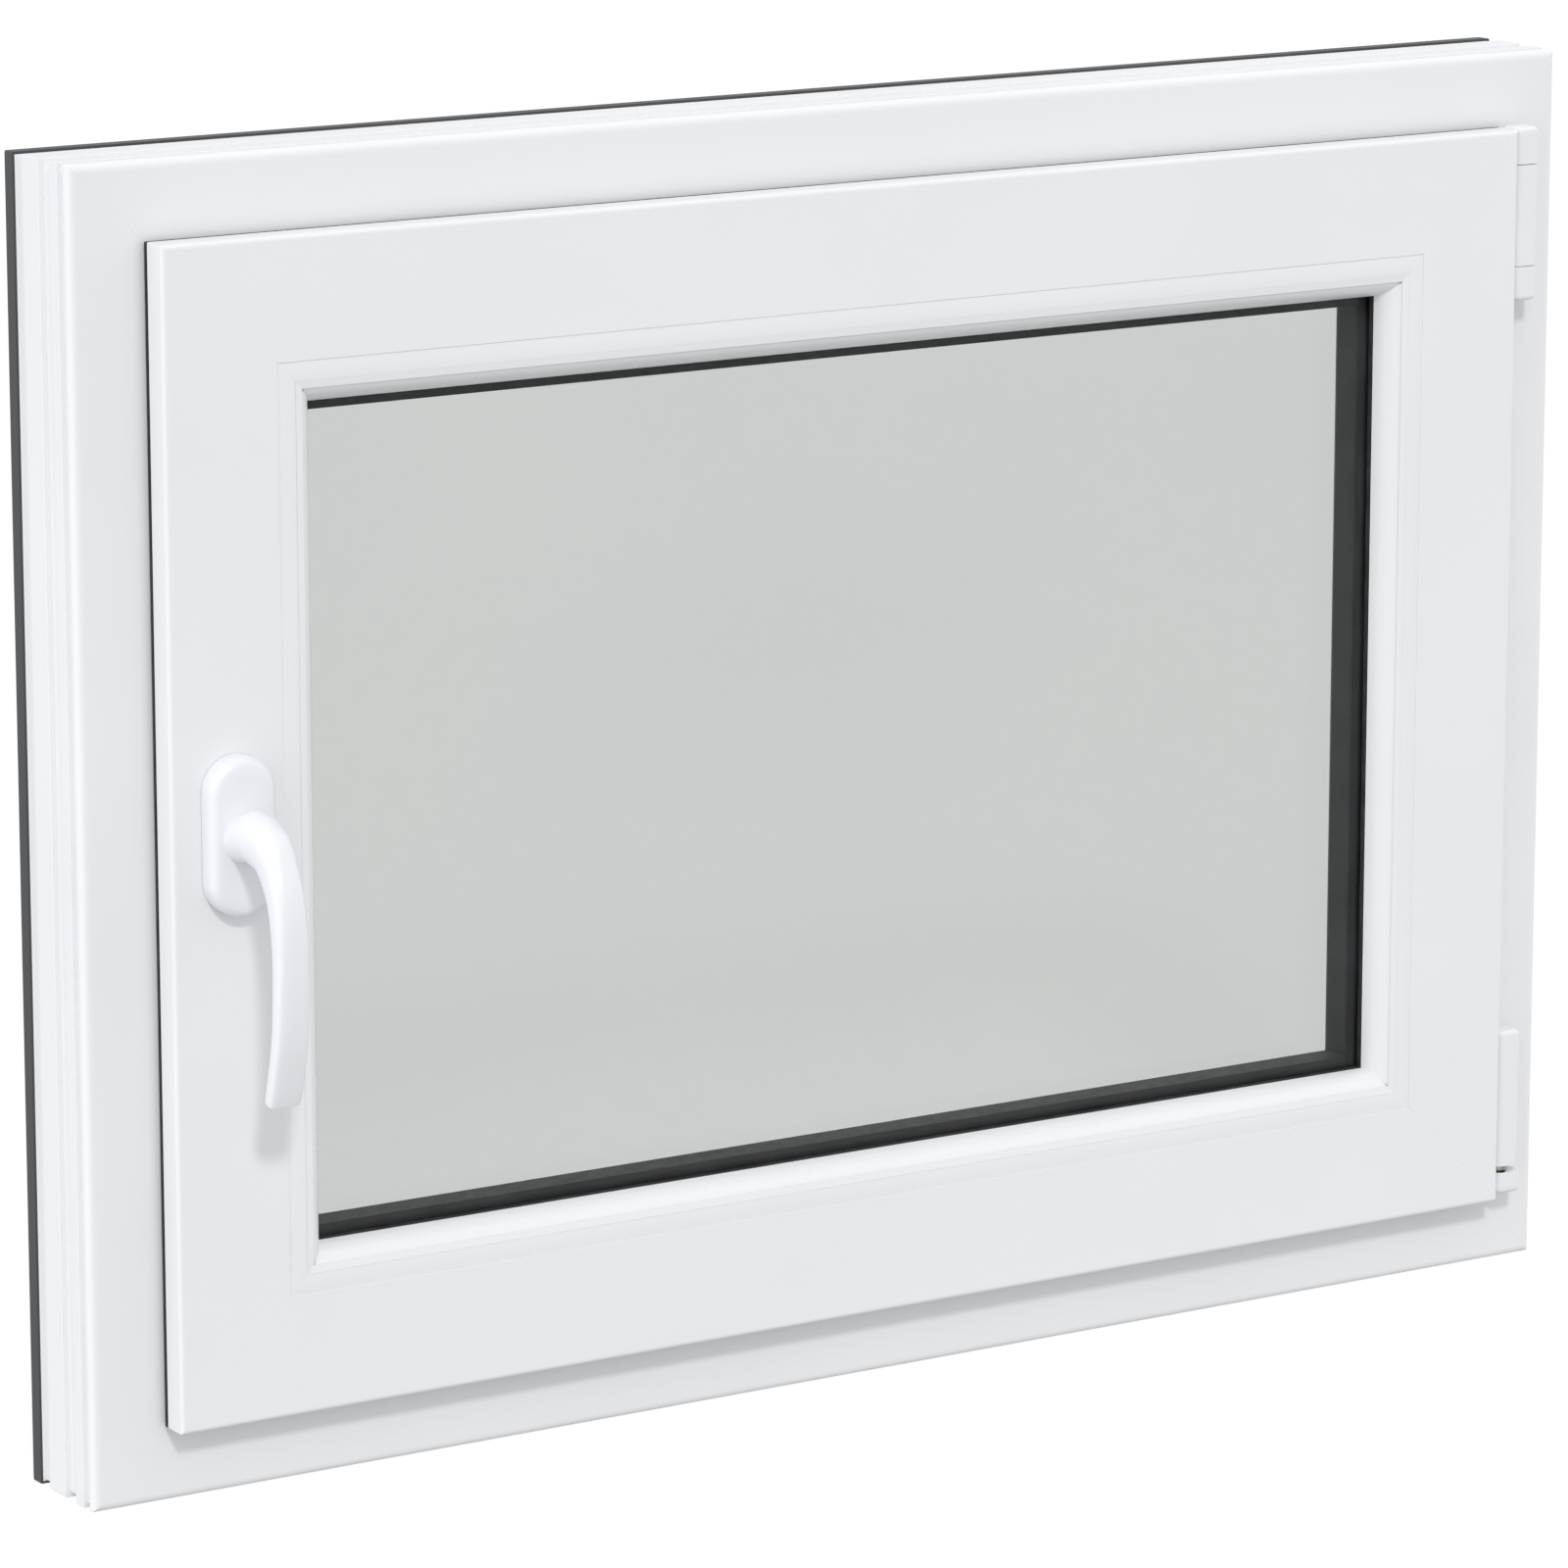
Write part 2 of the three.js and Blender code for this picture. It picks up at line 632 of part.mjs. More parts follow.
// Stations down the lever: depth, height, half width, half thickness and the way it heads, in
// degrees below level.
const LEVER = [
  [-29.1, 304, 11.4, 11.4, 0],
  [-38, 306, 10.4, 12, 0],
  [-44.7, 304.8, 9.7, 12, 10],
  [-52.6, 301.6, 8.9, 11, 32],
  [-58.4, 293.6, 8.1, 8.7, 58],
  [-63.9, 282.4, 8, 7, 74],
  [-67.2, 266, 8.1, 5.6, 83],
  [-67.8, 245, 8.2, 4.9, 90],
  [-65.7, 221.5, 8.2, 4.3, 98],
  [-61.1, 201.4, 8.2, 4.1, 106],
  [-57.9, 191.3, 7.9, 4.1, 108],
];

function leverSolid() {
  const sides = 12;
  const rings = LEVER.map(([y, z, halfWidth, halfThick, down]) => {
    const heading = THREE.MathUtils.degToRad(down);
    const across = new THREE.Vector3(0, -Math.sin(heading), Math.cos(heading));
    return Array.from({ length: sides }, (_, k) => {
      const angle = (2 * Math.PI * k) / sides;
      return new THREE.Vector3(HANDLE.x, y, z)
        .addScaledVector(across, halfThick * Math.sin(angle))
        .add(new THREE.Vector3(halfWidth * Math.cos(angle), 0, 0));
    });
  });
  return skin(rings);
}

function addHandle() {
  const socket = [-46, -28];
  const lever = cut(leverSolid(), throughBar(HANDLE.x, HANDLE.z, SPINDLE.room, socket, 12));
  add("handle_lever", lever, whiteLacquer());
  const across = [HANDLE.x - SPINDLE.half, HANDLE.x + SPINDLE.half];
  const tall = [HANDLE.z - SPINDLE.half, HANDLE.z + SPINDLE.half];
  add("handle_spindle", box(across, [socket[0] + 1, 26], tall), hardSteel());
  add("drive_pinion", through(pinionOutline(), [16, 24]), hardSteel());
}

// ---- Hinges ------------------------------------------------------------------------------

const COVER = {
  radius: 4.6,
  reach: 8.6, // from the axis, away from the sash
  blockReach: 10.4, // the same for the lower bearing
  fixedBack: -GAP,
  movingBack: -4.4, // y of the back of the covers that turn
  rounding: 2.4, // of the covers' free ends
};
// The straps run from the eyes on the turn axis, behind the sash's lap, into the rebate.
const STRAP = { half: 1.4, behindLap: [-3.3, -0.9], rebate: [753.4, 755.8] };

// Plan of the hinge pieces: round towards the sash, squarer on the far side.
function hingePlan(reach, back) {
  const r = COVER.radius;
  const shape = new THREE.Shape();
  shape.moveTo(HINGE.x - r, back);
  shape.lineTo(HINGE.x - r, HINGE.y);
  shape.absarc(HINGE.x, HINGE.y, r, Math.PI, 1.5 * Math.PI, false);
  shape.lineTo(HINGE.x + reach - 3, HINGE.y - r);
  shape.quadraticCurveTo(HINGE.x + reach, HINGE.y - r, HINGE.x + reach, HINGE.y - r + 3);
  shape.lineTo(HINGE.x + reach, back);
  return shape;
}

function strap(z, rebateEnd) {
  const { half, behindLap, rebate } = STRAP;
  return join(
    uprightBar(HINGE.x, HINGE.y, KNUCKLE, z),
    box([HINGE.x - half, HINGE.x + half], [HINGE.y, behindLap[1]], z),
    box([rebate[0], HINGE.x + half], behindLap, z),
    box(rebate, [behindLap[0], rebateEnd], z),
  );
}

// What a cover leaves free for its eye and strap.
function strapRoom(eyeSpan, strapSpan) {
  const half = STRAP.half + GAP;
  return [
    uprightBar(HINGE.x, HINGE.y, KNUCKLE + GAP, eyeSpan),
    box([HINGE.x - half, HINGE.x + half], [HINGE.y, 0], strapSpan),
    box([STRAP.rebate[0], HINGE.x + half], [STRAP.behindLap[0] - GAP, 0], strapSpan),
  ];
}

// A cover with its free ends rounded over. An end that meets a neighbour is left square.
function hingeCover(reach, back, [low, high], { bottom = true, top = true }) {
  const r = COVER.rounding;
  const front = HINGE.y - COVER.radius;
  const middle = { x: HINGE.x + (reach - COVER.radius) / 2, y: (front + back) / 2 };
  const half = { x: (reach + COVER.radius) / 2, y: (back - front) / 2 };
  const plan = hingePlan(reach, back).getPoints(8);
  const ring = (z, inset) =>
    plan.map((point) => {
      const x = middle.x + (point.x - middle.x) * (1 - inset / half.x);
      const y = middle.y + (point.y - middle.y) * (1 - inset / half.y);
      return new THREE.Vector3(x, y, z);
    });
  const roll = [0, 1, 2, 3, 4].map((step) => {
    const angle = (step * Math.PI) / 8;
    return { rise: r * (1 - Math.cos(angle)), inset: r * (1 - Math.sin(angle)) };
  });
  const lower = bottom ? roll.map(({ rise, inset }) => ring(low + rise, inset)) : [ring(low, 0)];
  const upper = top ? roll.map(({ rise, inset }) => ring(high - rise, inset)) : [ring(high, 0)];
  return skin([...lower, ...upper.reverse()]);
}

function addStay() {
  const { eye, crank, strip, tipPin, cover } = STAY;
  const tipX = HINGE.x - STAY.reach;
  const arm = join(
    uprightBar(HINGE.x, HINGE.y, KNUCKLE, eye),
    strap(crank, GROOVE.to),
    box([tipX - 9, STRAP.rebate[1]], [GROOVE.from, GROOVE.to], strip),
    uprightBar(tipX, ROD_CENTRE, 2.6, tipPin, 12),
  );
  const pinHole = uprightBar(HINGE.x, HINGE.y, PIN + GAP, [eye[0] - 1, eye[1] + 1]);
  add("stay_arm", cut(arm, pinHole), zincSteel());

  const shell = hingeCover(COVER.reach, COVER.movingBack, cover, { bottom: false });
  const room = strapRoom([cover[0] - 1, eye[1] + GAP], [crank[0] - GAP, crank[1] + GAP]);
  add("stay_eye_cover", cut(shell, ...room), whiteLacquer());
}

function addUpperHinge() {
  const { bearing, cap } = UPPER_HINGE;
  const bore = (z) => uprightBar(HINGE.x, HINGE.y, PIN + GAP, z);
  const block = hingeCover(COVER.reach, COVER.fixedBack, bearing, { bottom: false, top: false });
  add("stay_bearing", cut(block, bore([bearing[0] - 1, bearing[1] + 1])), whiteLacquer());
  const foot = hingeCover(COVER.reach, COVER.fixedBack, cap, { top: false });
  add("stay_pin_cap", cut(foot, bore([cap[0] + 3, cap[1] + 1])), whiteLacquer());
  const pin = [cap[0] + 3 + GAP, STAY.eye[1] - GAP];
  add("stay_hinge_pin", uprightBar(HINGE.x, HINGE.y, PIN, pin), hardSteel());
}

// The pin that carries the sash: a ball in the bush, a thin neck that leaves it room to tilt, a
// collar and a shank.
function ballPin() {
  const { collar, band } = LOWER_HINGE;
  const ball = new THREE.SphereGeometry(2.4, 16, 8).rotateX(Math.PI / 2);
  return join(
    ball.translate(HINGE.x, HINGE.y, TILT_Z),
    uprightBar(HINGE.x, HINGE.y, 1.4, [TILT_Z, collar[0] + 1], 12),
    uprightBar(HINGE.x, HINGE.y, 4.4, collar),
    uprightBar(HINGE.x, HINGE.y, PIN, [collar[0] + 1, band[1] - 2]),
  );
}

// The strap and the channel that holds it, round the sash's rebate edge.
function cornerBand() {
  const { band } = LOWER_HINGE;
  const channel = { x: [745.3, STRAP.rebate[1]], web: 2.4, y: [4, 30] };
  const plate = join(
    strap(band, channel.y[1]),
    box(channel.x, [channel.y[1] - channel.web, channel.y[1]], band),
    box([channel.x[0], channel.x[0] + channel.web], channel.y, band),
  );
  return cut(plate, uprightBar(HINGE.x, HINGE.y, PIN + GAP, [band[0] - 1, band[1] + 1]));
}

function addLowerHinge() {
  const { block, bush, cover, band } = LOWER_HINGE;
  const bearing = hingeCover(COVER.blockReach, COVER.fixedBack, block, { top: false });
  const seat = uprightBar(HINGE.x, HINGE.y, 3.6, [bush[0] - GAP, block[1] + 1]);
  add("lower_bearing", cut(bearing, seat), whiteLacquer());

  const shell = uprightBar(HINGE.x, HINGE.y, 3.2, bush);
  const socket = uprightBar(HINGE.x, HINGE.y, 2.7, [TILT_Z - 2.7, bush[1] + 1]);
  add("lower_bearing_bush", cut(shell, socket), nylon());

  add("hinge_ball_pin", ballPin(), hardSteel());
  add("corner_hinge_band", cornerBand(), zincSteel());

  const whole = hingeCover(COVER.reach, COVER.movingBack, cover, { bottom: false });
  const room = strapRoom([cover[0] - 1, band[1] + GAP], [band[0] - GAP, band[1] + GAP]);
  add("corner_band_cover", cut(whole, ...room), whiteLacquer());
}

// ---- Assembly ----------------------------------------------------------------------------

addFrame();
addDrainCaps();
addSash();
addBeads();
addGlazing();
addLapGaskets();
addLockGear();
addStrikers();
addRosette();
addHandle();
addUpperHinge();
addStay();
addLowerHinge();

const tiltAndTurnWindow = new THREE.Group();
tiltAndTurnWindow.add(casement);

export default tiltAndTurnWindow;
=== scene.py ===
"""A tilt-and-turn window in white PVC-U with an anthracite weather side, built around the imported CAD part.

Lengths below are millimetres in the window's own coordinates: x from the frame's left edge, y from
its room face towards the weather, z from the sill's underside. place() turns them into the row frame.
Pieces on a side of the window are drawn as on the handle side, as (u, y) points where u runs inwards
from the outer edge, and on_side() turns them into place.
"""

import math

import bmesh
import bpy
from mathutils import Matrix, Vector


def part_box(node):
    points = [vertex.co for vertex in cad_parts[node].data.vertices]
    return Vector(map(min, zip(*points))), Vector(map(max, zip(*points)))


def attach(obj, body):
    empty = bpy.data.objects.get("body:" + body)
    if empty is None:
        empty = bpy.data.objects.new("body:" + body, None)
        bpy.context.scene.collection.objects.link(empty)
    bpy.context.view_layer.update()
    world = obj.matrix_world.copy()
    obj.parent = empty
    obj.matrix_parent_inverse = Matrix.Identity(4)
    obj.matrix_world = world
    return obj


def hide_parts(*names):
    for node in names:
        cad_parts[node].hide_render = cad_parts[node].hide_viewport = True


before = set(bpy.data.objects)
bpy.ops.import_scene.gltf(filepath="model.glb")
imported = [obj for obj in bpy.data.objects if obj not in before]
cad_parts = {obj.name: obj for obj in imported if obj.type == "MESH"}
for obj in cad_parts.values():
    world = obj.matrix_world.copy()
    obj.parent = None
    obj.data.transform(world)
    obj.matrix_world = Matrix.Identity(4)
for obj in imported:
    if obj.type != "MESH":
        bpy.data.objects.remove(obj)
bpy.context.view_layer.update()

MM = 0.001

# ---- Sizes read from the frame ----------------------------------------------------------------

ORIGIN = Vector(
    (
        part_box("frame_handle_jamb")[0].x,
        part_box("frame_sill")[0].y,
        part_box("frame_sill")[0].z,
    )
)


def span(node, axis):
    """Lowest and highest coordinate of a CAD node along an axis, in window millimetres."""
    return tuple((corner[axis] - ORIGIN[axis]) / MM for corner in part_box(node))


X, Y, Z = range(3)
WIDTH = span("frame_hinge_jamb", X)[1]
DEPTH = span("frame_sill", Y)[1]
HEIGHT = span("frame_head", Z)[1]

FRAME_INNER = span("frame_handle_jamb", X)[1]  # u of the outer frame's lip
SASH_EDGE, SASH_INNER = span("sash_profile_handle_side", X)  # u; the inner one holds the glass outside
SASH_FACE, SASH_BACK = span("sash_profile_handle_side", Y)
BEAD_EDGE, SIGHT_LINE = span("glazing_bead_handle_side", X)
BEAD_BACK = span("glazing_bead_handle_side", Y)[1]
GLASS_BACK = span("outer_pane", Y)[1]
SPINDLE_X = sum(span("handle_spindle", X)) / 2
SPINDLE_Z = sum(span("handle_spindle", Z)) / 2

# ---- Sizes of the sections that the CAD boxes don't tell --------------------------------------

FRAME_REBATE = 43  # u where the frame's room face ends
LIP_FACE = 46  # y of the lip that the sash closes against
FOIL_WIDTH = 7.7  # how far the anthracite foil runs round onto the wall sides
FOIL_FROM = DEPTH - FOIL_WIDTH
FOIL_WRAP = 1.2  # how far its end is folded into the groove beside it
ARRIS = 0.4  # rounding of a profile's small outer edges
# Grooves in the frame's wall sides, from the weather side: depth, and the y of both their edges.
WALL_GROOVES = [(2, FOIL_FROM, 43.5), (2.5, 28, 18), (2, 10.5, 5)]

SASH_FACE_WIDTH = 55.5  # from the sash's edge to its beads
BEAD_OUTER = SASH_EDGE + SASH_FACE_WIDTH
LAP_BACK = -4  # y of the back of the sash's lap
SASH_REBATE = 55  # u of the sash's edge behind the lap
GROOVE = {"from": 12, "to": 28, "floor": 64}  # hardware groove in that edge: its y range, and u of its floor
GLASS_STOP = GLASS_BACK + 3  # y of the sash's wall outside the glass

WELD = {"half_width": 0.9, "depth": 0.16}  # scraped groove along each welded mitre
BEAD_JOINT = {"half_width": 0.2, "depth": 0.06}  # the beads are only cut and butted

SIDES = ("handle_side", "top", "hinge_side", "bottom")
LENGTHS = {"handle_side": HEIGHT, "top": WIDTH, "hinge_side": HEIGHT, "bottom": WIDTH}
FRAME_NODES = {
    "handle_side": "frame_handle_jamb",
    "top": "frame_head",
    "hinge_side": "frame_hinge_jamb",
    "bottom": "frame_sill",
}


def place(x, y, z):
    """A point in window millimetres, in the row frame in metres."""
    return ORIGIN + Vector((x, y, z)) * MM


def on_side(side, u, y, z):
    """A point drawn as on the handle side, moved to another side of the window."""
    turned = {
        "handle_side": (u, y, z),
        "top": (z, y, HEIGHT - u),
        "hinge_side": (WIDTH - u, y, HEIGHT - z),
        "bottom": (WIDTH - z, y, u),
    }
    return turned[side]


# ---- Materials --------------------------------------------------------------------------------

ALONG = {"handle_side": "upright", "hinge_side": "upright", "top": "level", "bottom": "level"}
# How much finer a pattern is across a profile than along it, for each way a profile can run.
STRETCH = {"upright": (1, 1, 0.02), "level": (0.02, 1, 1), "even": (1, 1, 1)}


class Surface:
    """A Principled material with the few procedural patterns that the finishes below need."""

    def __init__(self, name, roughness, **sockets):
        self.material = bpy.data.materials.new(name)
        self.material.use_nodes = True
        self.tree = self.material.node_tree
        self.shader = self.tree.nodes["Principled BSDF"]
        self.shader.inputs["Roughness"].default_value = roughness
        for socket, value in sockets.items():
            self.shader.inputs[socket.replace("_", " ")].default_value = value
        self.coordinates = self.tree.nodes.new("ShaderNodeTexCoord").outputs["Object"]
        self.bump = None

    def link(self, source, target):
        self.tree.links.new(source, target)

    def noise(self, size, detail=2.0, along="even", rough=0.5):
        """Noise whose blotches are about size millimetres across."""
        mapping = self.tree.nodes.new("ShaderNodeMapping")
        mapping.inputs["Scale"].default_value = STRETCH[along]
        self.link(self.coordinates, mapping.inputs["Vector"])
        noise = self.tree.nodes.new("ShaderNodeTexNoise")
        noise.inputs["Scale"].default_value = 1 / (size * MM)
        noise.inputs["Detail"].default_value = detail
        noise.inputs["Roughness"].default_value = rough
        self.link(mapping.outputs["Vector"], noise.inputs["Vector"])
        return noise.outputs["Fac"]

    def colours(self, pattern, low, high, ends=(0.3, 0.7)):
        """Two colours blended over a pattern, as the base colour."""
        ramp = self.tree.nodes.new("ShaderNodeValToRGB")
        for element, position, colour in zip(ramp.color_ramp.elements, ends, (low, high)):
            element.position = position
            element.color = (*colour, 1)
        self.link(pattern, ramp.inputs["Fac"])
        self.link(ramp.outputs["Color"], self.shader.inputs["Base Color"])

    def roughness(self, pattern, low, high):
        spread = self.tree.nodes.new("ShaderNodeMapRange")
        spread.inputs["From Min"].default_value = 0.3
        spread.inputs["From Max"].default_value = 0.7
        spread.inputs["To Min"].default_value = low
        spread.inputs["To Max"].default_value = high
        self.link(pattern, spread.inputs["Value"])
        self.link(spread.outputs["Result"], self.shader.inputs["Roughness"])

    def relief(self, pattern, depth, strength=1.0):
        """Adds a bump of that depth in millimetres on top of the ones before it."""
        bump = self.tree.nodes.new("ShaderNodeBump")
        bump.inputs["Distance"].default_value = depth * MM
        bump.inputs["Strength"].default_value = strength
        self.link(pattern, bump.inputs["Height"])
        if self.bump:
            self.link(self.bump, bump.inputs["Normal"])
        self.bump = bump.outputs["Normal"]
        self.link(self.bump, self.shader.inputs["Normal"])


def white_pvc(along):
    """Glossy extruded PVC-U: drawn lines along the profile over a faint orange peel."""
    surface = Surface("white_pvc_" + along, 0.32, IOR=1.53)
    surface.colours(surface.noise(90, 3), (0.803, 0.815, 0.83), (0.818, 0.829, 0.842))
    surface.roughness(surface.noise(14, 2, along), 0.32, 0.36)
    surface.relief(surface.noise(3.5, 2, along), 0.0003)
    surface.relief(surface.noise(3.5, 2), 0.0008)
    return surface.material


def anthracite_foil(along):
    """Dark laminate foil with a fine embossed grain along the profile."""
    surface = Surface("anthracite_foil_" + along, 0.5)
    grain = surface.noise(1.6, 5, along, 0.65)
    surface.colours(grain, (0.037, 0.039, 0.042), (0.053, 0.055, 0.058))
    surface.roughness(grain, 0.42, 0.6)
    surface.relief(grain, 0.05)
    return surface.material


def white_cover():
    """Moulded covers of the hinges: close to the profile's white, with a fine satin skin."""
    surface = Surface("white_cover", 0.34, IOR=1.5)
    surface.colours(surface.noise(25, 2), (0.79, 0.801, 0.816), (0.806, 0.816, 0.829))
    surface.roughness(surface.noise(5, 3), 0.31, 0.4)
    surface.relief(surface.noise(0.8, 2), 0.002)
    return surface.material


def white_lacquer():
    """Powder-coated lever and rosette: whiter than the profile, with a soft gloss."""
    surface = Surface("white_lacquer", 0.3, IOR=1.5, Coat_Weight=0.25, Coat_Roughness=0.12)
    surface.colours(surface.noise(30, 2), (0.798, 0.808, 0.84), (0.812, 0.822, 0.855))
    surface.roughness(surface.noise(6, 3), 0.28, 0.36)
    surface.relief(surface.noise(0.9, 2), 0.0015)
    return surface.material


def black_rubber():
    """Matt EPDM with a dusty bloom."""
    surface = Surface("black_rubber", 0.7, Specular_IOR_Level=0.2)
    surface.colours(surface.noise(12, 4), (0.019, 0.0195, 0.02), (0.038, 0.039, 0.041))
    surface.roughness(surface.noise(4, 3), 0.6, 0.82)
    surface.relief(surface.noise(0.6, 3), 0.02)
    return surface.material


def spacer_black():
    """Warm-edge spacer: smooth dark plastic with a faint sheen."""
    surface = Surface("spacer_black", 0.45, Specular_IOR_Level=0.2)
    surface.colours(surface.noise(20, 3), (0.022, 0.0225, 0.024), (0.034, 0.035, 0.037))
    surface.roughness(surface.noise(5, 3), 0.38, 0.52)
    surface.relief(surface.noise(0.8, 2), 0.01)
    return surface.material


def zinc_steel():
    """Zinc-plated pressings: pale grey with a cloudy passivation and a fine rolled grain."""
    surface = Surface("zinc_steel", 0.4, Metallic=1.0)
    surface.colours(surface.noise(9, 5), (0.46, 0.47, 0.47), (0.62, 0.62, 0.6))
    surface.roughness(surface.noise(3, 5), 0.3, 0.5)
    surface.relief(surface.noise(0.5, 3), 0.008)
    return surface.material


def hard_steel():
    """Turned steel of the pins and cams, with an olive passivated tint."""
    surface = Surface("hard_steel", 0.32, Metallic=1.0)
    surface.colours(surface.noise(5, 4), (0.3, 0.29, 0.25), (0.48, 0.47, 0.42))
    surface.roughness(surface.noise(2, 4), 0.24, 0.42)
    surface.relief(surface.noise(0.35, 2), 0.006)
    return surface.material


def nylon():
    """Grey glass-filled nylon of the bush, the setting blocks and the rosette's base."""
    surface = Surface("nylon", 0.55)
    surface.colours(surface.noise(6, 4), (0.035, 0.037, 0.04), (0.06, 0.062, 0.066))
    surface.roughness(surface.noise(2, 4), 0.48, 0.65)
    surface.relief(surface.noise(0.7, 3), 0.015)
    return surface.material


def float_glass():
    """Clear float glass with a slight grey tint."""
    surface = Surface("float_glass", 0.0, Transmission_Weight=1.0, IOR=1.25)
    surface.colours(surface.noise(260, 1), (0.745, 0.758, 0.75), (0.758, 0.764, 0.757))
    surface.relief(surface.noise(400, 1), 0.002)
    return surface.material


MATERIALS = {
    "white_pvc": {way: white_pvc(way) for way in ("upright", "level")},
    "anthracite": {way: anthracite_foil(way) for way in ("upright", "level")},
    "white_lacquer": white_lacquer(),
    "white_cover": white_cover(),
    "black_rubber": black_rubber(),
    "spacer": spacer_black(),
    "zinc_steel": zinc_steel(),
    "hard_steel": hard_steel(),
    "nylon": nylon(),
    "float_glass": float_glass(),
}


# ---- Mesh building ----------------------------------------------------------------------------


def rounded(corners, fine=8):
    """An outline from (a, b) or (a, b, radius) corners; a radius rounds its corner."""
    points = []
    for i, (a, b, *rest) in enumerate(corners):
        corner = Vector((a, b))
        if not rest:
            points.append(corner)
            continue
        before = Vector(corners[i - 1][:2]) - corner
        after = Vector(corners[(i + 1) % len(corners)][:2]) - corner
        start = corner + before.normalized() * rest[0]
        end = corner + after.normalized() * rest[0]
        for step in range(fine + 1):
            t = step / fine
            points.append(start * (1 - t) ** 2 + corner * 2 * t * (1 - t) + end * t**2)
    return points


def inset(points, distance, sharpest=0.3):
    """An outline moved inwards by a distance, which grows at a sharp corner only up to a limit."""
    area = sum(p.cross(q) for p, q in zip(points, points[1:] + points[:1]))
    inwards = math.copysign(1, area)
    moved = []
    for i, point in enumerate(points):
        before = (point - points[i - 1]).normalized()
        after = (points[(i + 1) % len(points)] - point).normalized()
        normal = Vector((-before.y - after.y, before.x + after.x)) * inwards
        squareness = max(normal.length / 2, sharpest)
        moved.append(point + normal.normalized() * distance / squareness)
    return moved


def loft(name, rings, closed=False):
    """A solid skinned over rings of window points: capped at both ends, or closed on itself."""
    count = len(rings[0])
    faces = []
    for r in range(len(rings) if closed else len(rings) - 1):
        a = r * count
        b = (r + 1) % len(rings) * count
        for k in range(count):
            after = (k + 1) % count
            faces.append((a + k, a + after, b + after, b + k))
    if not closed:
        faces.append(tuple(reversed(range(count))))
        faces.append(tuple(range((len(rings) - 1) * count, len(rings) * count)))
    mesh = bpy.data.meshes.new(name)
    mesh.from_pydata([place(*point) for ring in rings for point in ring], [], faces)
    return shaded(name, mesh)


def shaded(name, mesh, sharp_from=32):
    """An object of that mesh, outward-facing and smooth up to an angle in degrees."""
    solid = bmesh.new()
    solid.from_mesh(mesh)
    bmesh.ops.recalc_face_normals(solid, faces=solid.faces)
    solid.to_mesh(mesh)
    solid.free()
    mesh.shade_smooth()
    mesh.set_sharp_from_angle(angle=math.radians(sharp_from))
    piece = bpy.data.objects.new(name, mesh)
    bpy.context.scene.collection.objects.link(piece)
    even_normals(piece)
    return piece


def even_normals(piece):
    """Keeps large flat faces flat where they meet rounded edges."""
    normals = piece.modifiers.new("even_normals", "WEIGHTED_NORMAL")
    normals.keep_sharp = True
    normals.weight = 90


def paint(piece, *materials):
    piece.data.materials.clear()
    for material in materials:
        piece.data.materials.append(material)
    return piece


def foil_where(piece, is_foil):
    """Gives the second material to the faces whose centre passes a test of its u and depth."""
    for face in piece.data.polygons:
        x, y, z = (face.center - ORIGIN) / MM
        if is_foil(min(x, WIDTH - x, z, HEIGHT - z), y):
            face.material_index = 1
    return piece


def belongs(piece, body, slot, *nodes):
    """Puts a piece on its body, in place of the CAD nodes that it stands for. The slot argument is not used.
    """
    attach(piece, body)
    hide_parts(*nodes)
    return piece


# ---- Profiles ---------------------------------------------------------------------------------


def mitred_bar(name, corners, side, joint):
    """One side's profile, with a shallow groove where it meets its neighbours at the mitres."""
    full = rounded(corners)
    shallow = inset(full, joint["depth"])
    wide = joint["half_width"]
    length = LENGTHS[side]
    rings = [
        [on_side(side, u, y, u) for u, y in shallow],
        [on_side(side, u, y, u + wide) for u, y in full],
        [on_side(side, u, y, length - u - wide) for u, y in full],
        [on_side(side, u, y, length - u) for u, y in shallow],
    ]
    return loft(name, rings)


def frame_outline():
    """The outer frame's section, from its room face round to the grooves on its wall side."""
    wall_side = []
    for depth, back, front in WALL_GROOVES:
        wall_side += [(0, back, ARRIS), (depth, back), (depth, front), (0, front, ARRIS)]
    wall_side[:1] = [(0, FOIL_FROM), (FOIL_WRAP, FOIL_FROM)]  # the foil's edge is folded, not rounded
    return [
        (0, 0, 4.3),
        (FRAME_REBATE, 0, 3),
        (FRAME_REBATE, LIP_FACE, 0.8),
        (FRAME_INNER - 1, LIP_FACE, ARRIS),
        (FRAME_INNER, LIP_FACE + 1, ARRIS),
        (FRAME_INNER - 3, DEPTH, 1.5),
        (0, DEPTH, 0.6),
        *wall_side,
    ]


def sash_outline():
    """The sash's section, with the hardware groove in its rebate."""
    return [
        (SASH_EDGE, SASH_FACE, 2.4),
        (BEAD_OUTER, SASH_FACE, 0.25),
        (BEAD_OUTER, GLASS_STOP),
        (SASH_INNER, GLASS_STOP, 1),
        (SASH_INNER - 10.2, SASH_BACK, 2),
        (SASH_REBATE, SASH_BACK, 1),
        (SASH_REBATE, GROOVE["to"], ARRIS),
        (GROOVE["floor"], GROOVE["to"]),
        (GROOVE["floor"], GROOVE["from"]),
        (SASH_REBATE, GROOVE["from"], ARRIS),
        (SASH_REBATE, LAP_BACK, 0.6),
        (SASH_EDGE, LAP_BACK, 1),
    ]


